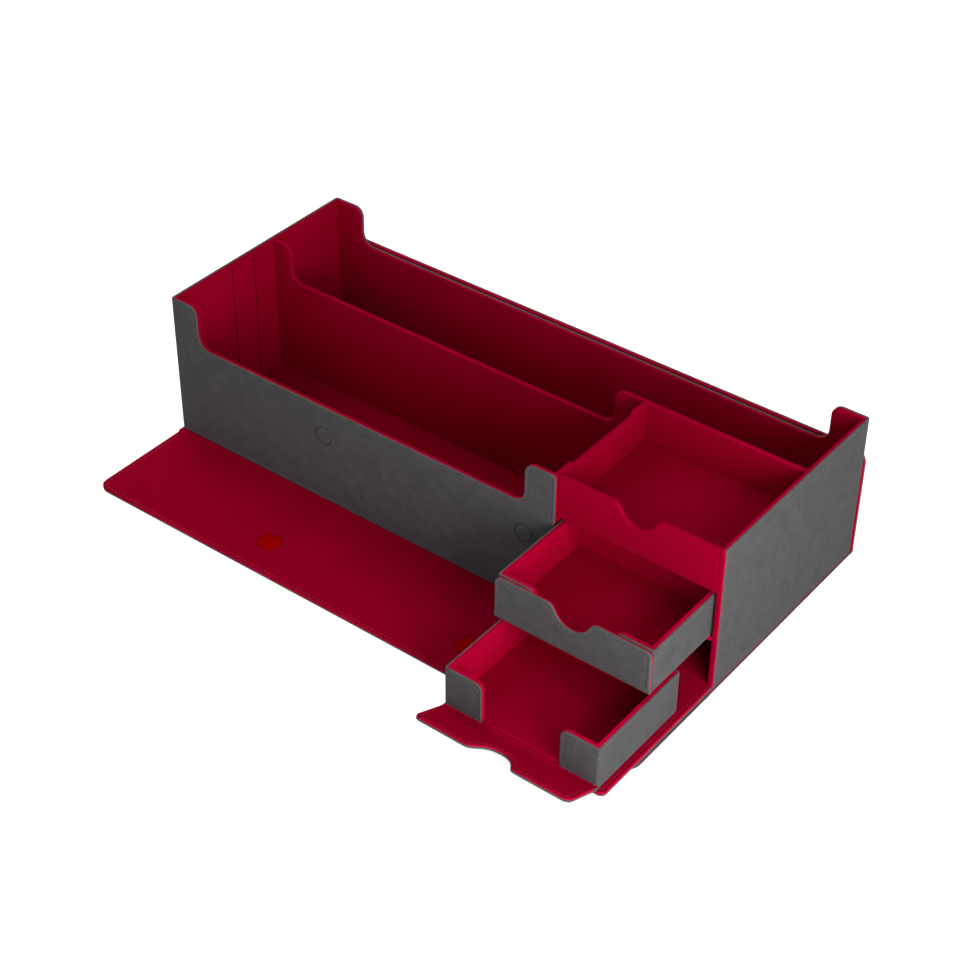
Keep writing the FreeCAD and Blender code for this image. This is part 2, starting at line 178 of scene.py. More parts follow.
suede = napped_cloth(
    "grey_suede", dark=paint(75, 74, 75), light=paint(87, 86, 87), rubbed_and_highlight=paint(92, 91, 92),
    crease_shade=paint(65, 64, 65), cloud=0.009, nap=0.0006, nap_depth=0.00025, gloss=0.1, sheen=0.08,
    sheen_colour=paint(190, 190, 192))
red = napped_cloth(
    "red_lining", dark=paint(152, 1, 37), light=paint(162, 1, 41), rubbed_and_highlight=paint(196, 4, 57),
    crease_shade=paint(118, 1, 27), cloud=0.05, nap=0.0005, nap_depth=0.00015, gloss=0, sheen=0.05,
    sheen_colour=paint(200, 10, 60))


def lying(across, up, out):
    """Turns the frame's axes so that a board lies flat with its shown side up."""
    return Matrix((across, up, out))


TOP = lying((1, 0, 0), (0, 1, 0), (0, 0, 1))
UNDER = lying((1, 0, 0), (0, -1, 0), (0, 0, -1))
# Two levels nearer than this are the same face of a board
SAME_LEVEL = 0.00001
# Places in a face are told apart to the thousandth of a millimetre
PLACE_DIGITS = 6


def pairs(loop):
    """Each point of a closed row with the point after it."""
    return list(zip(loop, loop[1:] + loop[:1]))


def area(loop):
    """The area inside a closed row of points."""
    return sum(here[0] * after[1] - after[0] * here[1] for here, after in pairs(loop)) / 2


def outlines(node, facing):
    """The edges of a board's shown face, largest first, and the board's lowest and highest level."""
    mesh = frame["nodes"][node].data
    points = [facing @ vertex.co for vertex in mesh.vertices]
    low = min(point.z for point in points)
    high = max(point.z for point in points)
    flat = [(round(point.x, PLACE_DIGITS), round(point.y, PLACE_DIGITS)) for point in points]
    steps = set()
    for face in mesh.polygons:
        if any(high - points[corner].z > SAME_LEVEL for corner in face.vertices):
            continue
        for start, end in pairs([flat[corner] for corner in face.vertices]):
            if (end, start) in steps:
                steps.remove((end, start))
            else:
                steps.add((start, end))
    following = dict(sorted(steps))
    loops = []
    while following:
        start = min(following)
        loop = [start]
        point = following.pop(start)
        while point != start:
            loop.append(point)
            point = following.pop(point)
        loops.append(loop)
    return sorted(loops, key=area, reverse=True), low, high


# A turn sharper than this is a corner, which gets rounded in a few steps
SHARP_TURN = math.radians(25)
CORNER_STEPS = 4
CORNER_RADIUS = 0.0008


def rounded(outline):
    """An outline with a small arc in place of each sharp corner."""
    points = [Vector(point) for point in outline]
    made = []
    for before, here, after in zip(points[-1:] + points[:-1], points, points[1:] + points[:1]):
        coming, going = (here - before).normalized(), (after - here).normalized()
        turn = math.atan2(coming.x * going.y - coming.y * going.x, coming.dot(going))
        if abs(turn) < SHARP_TURN:
            made.append(here)
            continue
        start = here - coming * CORNER_RADIUS * math.tan(abs(turn) / 2)
        spoke = Vector((coming.y, -coming.x)) * math.copysign(CORNER_RADIUS, turn)
        for step in range(CORNER_STEPS + 1):
            made.append(start - spoke + Matrix.Rotation(turn * step / CORNER_STEPS, 2) @ spoke)
    return made


def ring(outline, inset):
    """A rounded outline moved inwards by inset, where a step too short for it closes up to a point."""
    points = rounded(outline)
    count = len(points)
    steps = [(after - here).normalized() for here, after in pairs(points)]
    inward = [Vector((-step.y, step.x)) for step in steps]

    def meeting(first, second):
        if (first + 1) % count == second:
            both = inward[first] + inward[second]
            return points[second] + both / (1 + inward[first].dot(inward[second])) * inset
        start = points[first] + inward[first] * inset
        across = points[second] + inward[second] * inset - start
        slope = steps[first].x * steps[second].y - steps[first].y * steps[second].x
        return start + steps[first] * (across.x * steps[second].y - across.y * steps[second].x) / slope

    open_steps = list(range(count))
    while True:
        spots = {here: meeting(before, here) for before, here in pairs(open_steps)}
        kept = [here for here, after in pairs(open_steps)
                if (spots[after] - spots[here]).dot(steps[here]) > 0]
        if len(kept) == len(open_steps):
            break
        open_steps = kept
    made = []
    spot = spots[open_steps[0]]
    for number in reversed(range(count)):
        spot = spots.get(number, spot)
        made.append(spot)
    return made[::-1]


FULL_TURN = 2 * math.pi
QUARTER = FULL_TURN / 4
# Board edge: rounded in steps, worn with painted highlight near it, sewn a little way in with painted shade
ROUND_STEPS = 4
RUBBED_AND_HIGHLIGHT_WIDTH = 0.0014
FLAT_BORDER = 0.0003
SEAM_INSET = 0.0027
SEAM_HALF_WIDTH = 0.0005
SEAM_SHARES = (-1, -0.5, 0, 0.5, 1)
SEAM_DEPTH = 0.00035


def edge_rows(low, high, back_round, front_round, sewn):
    """A board's edge from back to shown face, as rows of (inset, level, press depth with painted shade)."""
    turns = [QUARTER * step / ROUND_STEPS for step in range(ROUND_STEPS + 1)]
    rows = []
    for turn in turns:
        rows.append((back_round * (1 - math.sin(turn)), low + back_round * (1 - math.cos(turn)), 0))
    for turn in turns:
        rows.append((front_round * (1 - math.cos(turn)), high - front_round * (1 - math.sin(turn)), 0))
    if sewn:
        # Each seam row's pressed share sets its depth and paints shade in the groove
        for share in SEAM_SHARES:
            pressed_and_shaded = math.cos(QUARTER * share) ** 2
            rows.append((SEAM_INSET + SEAM_HALF_WIDTH * share, high - SEAM_DEPTH * pressed_and_shaded, pressed_and_shaded))
    rows.append((rows[-1][0] + FLAT_BORDER, high, 0))
    return rows


# Two points nearer than this are one point of a mesh
SAME_PLACE = 0.0000001
# A sewn groove has its full depth from this far over a foot that runs on into a fold
SEAM_END = 0.0055


def split_at(outline, level):
    """An outline with one point more wherever it crosses a level."""
    made = []
    for here, after in pairs(outline):
        made.append(here)
        if (here[1] - level) * (after[1] - level) < 0:
            share = (level - here[1]) / (after[1] - here[1])
            made.append((here[0] + (after[0] - here[0]) * share, level))
    return made


def loft(bm, rings):
    """Faces from each ring of points to the next, and a flat face at each end."""
    for lower, upper in zip(rings, rings[1:]):
        for corner in range(len(lower)):
            bm.faces.new((lower[corner - 1], lower[corner], upper[corner], upper[corner - 1]))
    bm.faces.new(rings[-1])
    bm.faces.new(rings[0][::-1])


def finished(bm, name):
    """The mesh of faces that are all made."""
    mesh = bpy.data.meshes.new(name)
    bm.to_mesh(mesh)
    bm.free()
    return mesh


def board_mesh(outline, rows, place, cuts=(), wear_and_highlight=1, foot_free=False):
    """A closed board: one ring of points for each row of its edge, and a flat face on each side."""
    foot = min(up for across, up in outline)
    foot_border = foot + SEAM_INSET + SEAM_HALF_WIDTH + FLAT_BORDER
    if foot_free:
        outline = split_at(outline, foot + SEAM_END)
    bm = bmesh.new()
    # The rim mask paints wear and a highlight by the edge; the pressed mask paints shade in the seam groove
    rim = bm.verts.layers.float.new("rim")
    pressed_shade_layer = bm.verts.layers.float.new("pressed_and_shaded")
    rings = []
    face_inset = rows[-1][0]
    for inset, level, pressed_and_shaded in rows:
        loop = []
        for point in ring(outline, inset):
            sewn = 0 if foot_free and point.y < foot_border else pressed_and_shaded
            vert = bm.verts.new((point.x, point.y, level + SEAM_DEPTH * (pressed_and_shaded - sewn)))
            vert[rim] = 0 if inset == face_inset else wear_and_highlight * max(0, 1 - inset / RUBBED_AND_HIGHLIGHT_WIDTH)
            vert[pressed_shade_layer] = sewn
            loop.append(vert)
        rings.append(loop)
    loft(bm, rings)
    bmesh.ops.remove_doubles(bm, verts=bm.verts[:], dist=SAME_PLACE)
    for cut in cuts:
        everything = bm.verts[:] + bm.edges[:] + bm.faces[:]
        bmesh.ops.bisect_plane(
            bm, geom=everything, dist=SAME_PLACE, plane_co=(cut, 0, 0), plane_no=(1, 0, 0))
    for vert in bm.verts:
        vert.co = place(vert.co)
    return finished(bm, "board")


def in_scene(name, data):
    """A new object in the scene."""
    made = bpy.data.objects.new(name, data)
    bpy.context.scene.collection.objects.link(made)
    return made


# Faces that meet at less than this angle are shaded as one soft surface
SMOOTH_ANGLE = math.radians(38)


def covered(name, mesh, *materials):
    """A mesh in the scene, covered with its materials."""
    for material in materials:
        mesh.materials.append(material)
    mesh.shade_smooth()
    mesh.set_sharp_from_angle(angle=SMOOTH_ANGLE)
    return in_scene(name, mesh)


def piece(name, meshes, material, body, replaced=()):
    """One piece of the object from one or more meshes, riding on its body."""
    bm = bmesh.new()
    for part in meshes:
        bm.from_mesh(part)
        bpy.data.meshes.remove(part)
    made = covered(name, finished(bm, name), material)
    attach(made, body)
    if replaced:
        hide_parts(*replaced)


# Threads: short stitches that lie half sunk in the sewn groove
STITCH_LENGTH = 0.0026
STITCH_PITCH = 0.0034
THREAD_RADIUS = 0.00027
THREAD_ROUGHNESS = 0.7
THREAD_GLOSS = 0.5
STITCH_SIDES = 6
# Along a stitch: how far from its middle and how thick it is, as shares of half its length and its radius
STITCH_RINGS = ((-1, 0.4), (-0.75, 1), (0.75, 1), (1, 0.4))


def flecked(name, grain, dark, light, roughness, gloss):
    """A material with fine light and dark flecks of one size."""
    material, surface = new_finish(name)
    nodes, links = material.node_tree.nodes, material.node_tree.links
    surface.inputs["Roughness"].default_value = roughness
    surface.inputs["Specular IOR Level"].default_value = gloss
    flecks = nodes.new("ShaderNodeTexNoise")
    flecks.inputs["Scale"].default_value = 1 / grain
    ramp = nodes.new("ShaderNodeValToRGB")
    ramp.color_ramp.elements[0].color = dark
    ramp.color_ramp.elements[1].color = light
    links.new(nodes.new("ShaderNodeTexCoord").outputs["Object"], flecks.inputs["Vector"])
    links.new(flecks.outputs["Fac"], ramp.inputs["Fac"])
    links.new(ramp.outputs["Color"], surface.inputs["Base Color"])
    return material


def thread(name, dark, light):
    """Sewing thread, with the fine light and dark of its twist."""
    return flecked(name, THREAD_RADIUS, dark, light, THREAD_ROUGHNESS, THREAD_GLOSS)


grey_thread = thread("grey_thread", dark=paint(84, 83, 84), light=paint(106, 105, 106))
red_thread = thread("red_thread", dark=paint(150, 2, 36), light=paint(182, 8, 50))


def stitches(outline, level, place, foot_free=False):
    """A row of stitches along the sewn groove inside an outline, which may leave its foot free."""
    path = ring(outline, SEAM_INSET)
    path = [here for before, here in zip(path[-1:] + path, path) if (here - before).length > SAME_PLACE]
    legs = [(after - here).length for here, after in pairs(path)]
    length = sum(legs)
    count = round(length / STITCH_PITCH)

    def along(distance):
        distance %= length
        for number, leg in enumerate(legs):
            if distance <= leg:
                return path[number].lerp(path[(number + 1) % len(path)], distance / leg)
            distance -= leg
        return path[0]

    bm = bmesh.new()
    height = level - SEAM_DEPTH + THREAD_RADIUS / 2
    foot = min(point.y for point in path)
    for number in range(count):
        start = length * number / count
        first, last = along(start), along(start + STITCH_LENGTH)
        middle, run = (first + last) / 2, (last - first) / 2
        if foot_free and middle.y < foot + STITCH_PITCH:
            continue
        side = Vector((-run.y, run.x)).normalized()
        rings = []
        for reach, thickness in STITCH_RINGS:
            centre = middle + run * reach
            radius = THREAD_RADIUS * thickness
            loop = []
            for step in range(STITCH_SIDES):
                turn = FULL_TURN * step / STITCH_SIDES
                spot = centre + side * math.cos(turn) * radius
                rise = math.sin(turn) * radius
                loop.append(bm.verts.new(place(Vector((spot.x, spot.y, height + rise)))))
            rings.append(loop)
        loft(bm, rings)
    return finished(bm, "stitches")


SUEDE_ROUND = 0.0005
LINING_ROUND = 0.0007
BACK_ROUND = 0.0002


def back_from(facing):
    """Puts a point of a board that lies flat back in the frame."""
    upright = facing.transposed()
    return lambda point: upright @ point


def suede_board(node, facing, body, sewn=True, foot_free=False):
    """A wrapped outer board in the place of a node, with its sewn line."""
    edges, low, high = outlines(node, facing)
    rows = edge_rows(low, high, BACK_ROUND, SUEDE_ROUND, sewn)
    board = board_mesh(edges[0], rows, back_from(facing), foot_free=foot_free)
    piece(f"{node}_suede", [board], suede, body, [node])
    if sewn:
        rows_of_thread = stitches(edges[0], high, back_from(facing), foot_free)
        piece(f"{node}_thread", [rows_of_thread], grey_thread, body)


def lining_board(node, facing, body, sewn=False, foot_free=False, back_round=BACK_ROUND, wear_and_highlight=1,
                 short=0):
    """A red lining board in the place of a node, which may be cut a little short at both ends."""
    edges, low, high = outlines(node, facing)
    near = min(across for across, up in edges[0])
    far = max(across for across, up in edges[0])
    edge = [(min(max(across, near + short), far - short), up) for across, up in edges[0]]
    rows = edge_rows(low, high, back_round, LINING_ROUND, sewn)
    board = board_mesh(edge, rows, back_from(facing), wear_and_highlight=wear_and_highlight, foot_free=foot_free)
    piece(f"{node}_cloth", [board], red, body, [node])
    if sewn:
        rows_of_thread = stitches(edge, high, back_from(facing), foot_free)
        piece(f"{node}_thread", [rows_of_thread], red_thread, body)


# The lining ends this far inside the base's two ends
BASE_LINING_SHORT = 0.0006
suede_board("cover_base", UNDER, "cover")
lining_board("cover_base_lining", TOP, "cover", wear_and_highlight=0, short=BASE_LINING_SHORT)

# Cover flaps
# The front flap lies open on the ground and the back flap stands folded up behind the box. Each is
# a wrapped board with a red lining, sewn a little way in from its three free edges.
FRONT = lying((1, 0, 0), (0, 0, 1), (0, -1, 0))
BACK = lying((-1, 0, 0), (0, 0, 1), (0, 1, 0))
OPENED = lying((-1, 0, 0), (0, -1, 0), (0, 0, 1))
FRONT_LINING_SHORT = 0.0012
suede_board("cover_front_flap", UNDER, "cover_front_flap", foot_free=True)
lining_board("cover_front_flap_lining", OPENED, "cover_front_flap", sewn=True, foot_free=True,
             short=FRONT_LINING_SHORT)
suede_board("cover_back_flap", BACK, "cover_back_flap", foot_free=True)
lining_board("cover_back_flap_lining", FRONT, "cover_back_flap", sewn=True, foot_free=True)

# Cover folds
# Where a flap joins the base only the two cloths run on, without board between them, so the fold is
# a thinner channel of suede outside and lining inside, bent to the angle its flap stands at.
FOLD_THICKNESS = 0.0025
FOLD_TUCK = 0.0008
FOLD_ARC_STEPS = 6
# Places of the points along each straight half of the channel, as shares of its length
FOLD_STRAIGHT_SHARES = (1, 0.6, 0.25)
# The frame leaves this gap between a fold and its boards, which the cloth bridges
FOLD_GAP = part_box("cover_base")[0].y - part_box("cover_front_hinge")[1].y
# The lining's other points keep this far off its crease
CREASE_GAP = 0.00001
# At a right angle a fold's lining is flatter by this share
FOLD_CRUSH = 0.35


def fold(node, lead, bend):
    """The cloth channel along a fold: it leads towards -Y or +Y, then bends up by an angle."""
    low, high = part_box(node)
    pivot = (low + high) / 2
    reach = (high.z - low.z) / 2 + FOLD_GAP
    forward, inner = Vector((0, lead, 0)), Vector((0, 0, 1))
    turned = forward * math.cos(bend) + inner * math.sin(bend)
    turned_inner = inner * math.cos(bend) - forward * math.sin(bend)
    half = FOLD_THICKNESS / 2
    lengths = [(reach + FOLD_TUCK) * share for share in FOLD_STRAIGHT_SHARES]
    outside = [-forward * length - inner * half for length in lengths]
    steps = FOLD_ARC_STEPS if bend else 0
    for step in range(steps + 1):
        turn = bend * step / max(steps, 1)
        outside.append((forward * math.sin(turn) - inner * math.cos(turn)) * half)
    outside += [turned * length - turned_inner * half for length in reversed(lengths)]
    rise = half * (1 - FOLD_CRUSH * bend / QUARTER)
    crease = (inner + turned_inner) / (1 + math.cos(bend)) * rise
    inner_lengths = [max(length, rise * math.tan(bend / 2) + CREASE_GAP) for length in lengths]
    inside = [turned * length + turned_inner * rise for length in inner_lengths]
    inside += [crease]
    inside += [inner * rise - forward * length for length in reversed(inner_lengths)]
    section = outside + inside
    bm = bmesh.new()
    loft(bm, [[bm.verts.new((x, pivot.y + point.y, pivot.z + point.z)) for point in section]
              for x in (low.x, high.x)])
    for number, face in enumerate(bm.faces):
        face.material_index = int(len(outside) < number < len(section))
    bmesh.ops.recalc_face_normals(bm, faces=bm.faces[:])
    made = covered(f"{node}_cloth", finished(bm, f"{node}_cloth"), suede, red)
    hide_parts(node)
    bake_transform(made)


fold("cover_front_hinge", -1, 0)
fold("cover_back_hinge", 1, QUARTER)

# Cover magnets
# Two round magnets sit in the lining of each flap, under a domed cap of smooth bright red film. The
# lining is pressed down in a ring round each cap, and that ring is painted darker as shade.
BUTTON_STEPS = 48
CAP_ROWS = (
    (1.1, -0.0002, 0), (1.1, 0.0002, 0), (1.08, 0.00045, 0), (1.02, 0.0007, 0), (0.92, 0.0009, 0),
    (0.76, 0.00104, 0), (0.5, 0.0011, 0))
# The seat's ring round the cap carries painted shade in its third column
SEAT_ROWS = (
    (1.34, -0.0002, 0), (1.34, 0.00002, 0), (1.26, 0.00014, 0), (1.2, 0.0001, 0.5),
    (1.15, 0.00004, 1), (1.06, 0.00004, 1))
FILM_RIPPLE = 0.0025
FILM_ROUGHNESS = 0.6
film = flecked("red_film", FILM_RIPPLE, paint(156, 1, 1), paint(172, 2, 2), FILM_ROUGHNESS, gloss=0)


def button(centre, facing, radius, rows):
    """A round low button: rows of (share of radius, height over the cloth, pressed share painted as shade).
    """
    bm = bmesh.new()
    pressed_shade_layer = bm.verts.layers.float.new("pressed_and_shaded")
    upright = facing.transposed()
    rings = []
    for share, height, pressed_and_shaded in rows:
        loop = []
        for step in range(BUTTON_STEPS):
            turn = FULL_TURN * step / BUTTON_STEPS
            flat = Vector((math.cos(turn) * radius * share, math.sin(turn) * radius * share, height))
            vert = bm.verts.new(centre + upright @ flat)
            vert[pressed_shade_layer] = pressed_and_shaded
            loop.append(vert)
        rings.append(loop)
    loft(bm, rings)
    return finished(bm, "button")


def magnet_places(node, facing):
    """The middle of each magnet's shown face, and the magnets' radius."""
    low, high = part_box(node)
    radius = (high.z - low.z) / 2 if facing in (FRONT, BACK) else (high.y - low.y) / 2
    face = (low + high) / 2
    for axis, out in enumerate(facing[2]):
        if out:
            face[axis] = high[axis] if out > 0 else low[axis]
    return [Vector((x, face.y, face.z)) for x in (low.x + radius, high.x - radius)], radius


for side, facing in (("front", TOP), ("back", FRONT)):
    node = f"cover_{side}_magnets"
    places, radius = magnet_places(node, facing)
    caps = [button(place, facing, radius, CAP_ROWS) for place in places]
    piece(f"{node}_caps", caps, film, f"cover_{side}_flap", [node])
    seats = [button(place, facing, radius, SEAT_ROWS) for place in places]
    piece(f"{node}_seats", seats, red, f"cover_{side}_flap")

# Box floor
# The box's own bottom is a suede board that stands on the cover, with a red lining on top that shows
# at the bottom of the wells and of the drawer bay.
suede_board("floor_board", UNDER, "box", sewn=False)
lining_board("floor_lining", TOP, "box")

# Outer walls
# One long strip of wrapped board goes round the box from the front edge of the right end to the right
# end of the front wall, folded at three corners and sewn along all its edges.
WALL_BEND = 0.002
BEND_STEPS = 6


def walk(corners, bend):
    """Where the points of a flat strip lie round corners, bent or mitred, and where it is cut for them."""
    legs = [after - here for here, after in zip(corners, corners[1:])]
    starts = [sum(leg.length for leg in legs[:number]) for number in range(len(corners))]
    cuts = starts[1:-1]
    if bend:
        bend_places = [bend * (2 * step / BEND_STEPS - 1) for step in range(BEND_STEPS + 1)]
        cuts = [start + bend_place for start in cuts for bend_place in bend_places]

    def place(point):
        begun = [number for number in range(len(legs)) if number == 0 or point.x >= starts[number]]
        number = max(begun)
        forward = legs[number].normalized()
        out = Vector((forward.y, -forward.x))
        gone = point.x - starts[number]
        near_start = number > 0 and point.x < starts[number] + bend
        near_end = number < len(legs) - 1 and point.x > starts[number + 1] - bend
        if bend and (near_start or near_end):
            turn_number = number if near_start else number + 1
            before = legs[turn_number - 1].normalized()
            first_out = Vector((before.y, -before.x))
            turn = QUARTER / 2 * (1 + (point.x - starts[turn_number]) / bend)
            spun = Matrix.Rotation(turn, 2) @ first_out
            centre = corners[turn_number] - (first_out + before) * bend
            spot = centre + spun * (bend + point.z)
        else:
            if not bend:
                least = -point.z if number > 0 else 0
                most = legs[number].length + (point.z if number < len(legs) - 1 else 0)
                gone = min(max(gone, least), most)
            spot = corners[number] + forward * gone + out * point.z
        return Vector((spot.x, spot.y, point.y))

    return place, cuts, starts


def top_edge(node, facing, start):
    """The points of a wall's top edge, moved so that its near end is at start along the strip."""
    loop = outlines(node, facing)[0][0]
    near_end = min(across for across, up in loop)
    foot = min(up for across, up in loop)
    return [(start + across - near_end, up) for across, up in loop if up > foot]


wall_low, wall_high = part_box("front_wall")
back_low, back_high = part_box("back_wall")
right_low, right_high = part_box("right_end_wall")
wall_corners = [
    Vector((right_high.x, right_low.y)),
    Vector((back_high.x, back_high.y)),
    Vector((back_low.x, back_high.y)),
    Vector((wall_low.x, wall_low.y)),
    Vector((wall_high.x, wall_low.y)),
]
place_wall, wall_cuts, wall_starts = walk(wall_corners, WALL_BEND)
wall_outline = [(0, wall_low.z), (wall_starts[-1], wall_low.z)]
wall_outline += top_edge("front_wall", FRONT, wall_starts[3])
wall_outline += top_edge("back_wall", BACK, wall_starts[1])
wall_outline += [(0, wall_high.z)]
wall_rows = edge_rows(wall_low.y - wall_high.y, 0, BACK_ROUND, SUEDE_ROUND, True)
# The cloth is turned in over the top of the back and left walls, which makes their rim wider
TURN_IN = 0.0007
TURN_IN_FOOT = 0.02


def place_turned_in(point):
    """The place of a point of the wall strip, moved in where it is at the back of a turned in rim."""
    inside = point.z < -SUEDE_ROUND - BACK_ROUND and point.y > TURN_IN_FOOT
    turned = inside and wall_starts[1] <= point.x <= wall_starts[3]
    return place_wall(Vector((point.x, point.y, point.z - TURN_IN * turned)))


wall_mesh = board_mesh(wall_outline, wall_rows, place_turned_in, wall_cuts)
piece("outer_walls_suede", [wall_mesh], suede, "box",
      ["front_wall", "back_wall", "left_end_wall", "right_end_wall"])
piece("outer_walls_thread", [stitches(wall_outline, 0, place_wall)], grey_thread, "box")

# Wall magnets
# The magnets inside the front and back walls push the suede out a little, so that each shows only as
# a round bump inside a pressed ring painted darker as shade.
# The third column paints shade in the ring round each bump
BUMP_ROWS = (
    (1.24, -0.0001, 0), (1.16, 0.00014, 0), (1.09, 0.0004, 0), (1.03, 0.00036, 0.3),
    (0.98, 0.00002, 1), (0.92, 0.00002, 1), (0.86, 0.0004, 0.3), (0.78, 0.00058, 0), (0.45, 0.00064, 0))
for side, facing, wall_face in (("front", FRONT, wall_low.y), ("back", BACK, back_high.y)):
    node = f"{side}_wall_magnets"
    places, radius = magnet_places(node, facing)
    bumps = [button(Vector((place.x, wall_face, place.z)), facing, radius, BUMP_ROWS) for place in places]
    piece(f"{node}_bumps", bumps, suede, "box", [node])

# Wall linings
# Red lined boards stand inside the walls, and their soft top edges make most of the rim. The left one
# has two upright grooves, and the right one is turned round the front edge of its wall.
LEFT = lying((0, -1, 0), (0, 0, 1), (-1, 0, 0))
RIGHT = lying((0, 1, 0), (0, 0, 1), (1, 0, 0))
RIM_ROUND = 0.0009
# The wall linings' rims take this share of the paler edge colour: wear and painted highlight
RIM_WEAR_AND_HIGHLIGHT = 0.4
lining_board("front_wall_lining", BACK, "box", wear_and_highlight=RIM_WEAR_AND_HIGHLIGHT)
lining_board("back_wall_lining", FRONT, "box", back_round=RIM_ROUND, wear_and_highlight=RIM_WEAR_AND_HIGHLIGHT)
BACKING_INSET = 0.0001
GROOVE_SHARE = 0.33


def backing_rows(low, high, back_round, pressed_and_shaded):
    """The edge of a board behind others, a little inside theirs, all of it pressed alike and painted as
    shade.
    """
    rows = edge_rows(low, high, back_round, BACK_ROUND, False)
    return [(row[0] + BACKING_INSET, row[1], pressed_and_shaded) for row in rows]


strips, low, high = outlines("left_end_lining", RIGHT)
whole = outlines("left_end_lining", LEFT)[0][0]
backing = [(-across, up) for across, up in reversed(whole)]
groove_floor = high - (high - low) * GROOVE_SHARE
# The backing shows only in the two grooves, and its pressed share paints them dark as shade
left_meshes = [
    board_mesh(backing, backing_rows(low, groove_floor, RIM_ROUND, 1), back_from(RIGHT), wear_and_highlight=0)]
strip_rows = edge_rows(low, high, RIM_ROUND, LINING_ROUND / 2, False)
for strip in strips:
    left_meshes.append(board_mesh(strip, strip_rows, back_from(RIGHT), wear_and_highlight=0))
piece("left_end_lining_cloth", left_meshes, red, "box", ["left_end_lining"])


def rectangle(low_across, low_up, high_across, high_up):
    """The four corners of a rectangle, anticlockwise."""
    return [(low_across, low_up), (high_across, low_up), (high_across, high_up), (low_across, high_up)]


lining_low, lining_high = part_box("right_end_lining")
inner_face = rectangle(-lining_high.y, lining_low.z, -right_low.y, lining_high.z)
inner_rows = edge_rows(-right_low.x, -lining_low.x, BACK_ROUND, LINING_ROUND, False)
front_edge = rectangle(lining_low.x, lining_low.z, lining_high.x, lining_high.z)
front_rows = edge_rows(-right_low.y, -lining_low.y, BACK_ROUND, LINING_ROUND, False)
piece("right_end_lining_cloth",
      [board_mesh(inner_face, inner_rows, back_from(LEFT), wear_and_highlight=RIM_WEAR_AND_HIGHLIGHT),
       board_mesh(front_edge, front_rows, back_from(FRONT), wear_and_highlight=RIM_WEAR_AND_HIGHLIGHT)],
      red, "box", ["right_end_lining"])

# Divider
# A red covered board stands between the front well and the back well. It is low in the middle, with a
# narrow fin at the left wall and a high part behind the drawer bay.
DIVIDER_ROUND = 0.0012
lining_board("divider", FRONT, "box", back_round=DIVIDER_ROUND, wear_and_highlight=RIM_WEAR_AND_HIGHLIGHT)

# Drawer bay
# The bay's side wall, the shelf between the drawers and the small tray on top are red covered boards.
# The tray's front has a finger notch and the side wall a shallow dip along its top.
lining_board("bay_side_wall", LEFT, "box", back_round=LINING_ROUND, wear_and_highlight=0)
lining_board("drawer_shelf", TOP, "box", back_round=LINING_ROUND)
lining_board("dice_tray_floor", TOP, "box")
lining_board("dice_tray_front", FRONT, "box", back_round=LINING_ROUND, wear_and_highlight=0)

# Bay door
# A wrapped board with a red lining closes the drawer bay. Here it lies open in front of the bay, on
# the cover's flap, held by a cloth fold at the foot of the bay.
suede_board("bay_door", UNDER, "bay_door", foot_free=True)
lining_board("bay_door_lining", OPENED, "bay_door", sewn=True, foot_free=True)
fold("bay_door_hinge", -1, 0)

# Drawers
# Each drawer is a suede strip folded round four corners, open in the middle of its front, with a red
# lining inside. A notched flap on a cloth fold along the bottom, sewn at its free edges, closes the front.
DRAWER_BEND = 0.0016
DRAWER_LINING = 0.0028
STUB_CORNER = 0.005
STUB_STEPS = 8
flap_joints = {joint["child"]: joint for joint in frame["joints"]}


def stub_outline(length, foot, top):
    """A strip with the two top corners at its ends rounded."""
    edge = [(0, foot), (length, foot)]
    middle = top - STUB_CORNER
    for centre, first in ((length - STUB_CORNER, 0), (STUB_CORNER, QUARTER)):
        for step in range(STUB_STEPS + 1):
            turn = first + QUARTER * step / STUB_STEPS
            edge.append((centre + STUB_CORNER * math.cos(turn), middle + STUB_CORNER * math.sin(turn)))
    return edge


def drawer_path(low, high, gap):
    """The corners of a drawer's wall from one side of the gap in its front round to the other."""
    corners = [(gap[1], low.y), (high.x, low.y), (high.x, high.y)]
    corners += [(low.x, high.y), (low.x, low.y), (gap[0], low.y)]
    return [Vector(corner) for corner in corners]


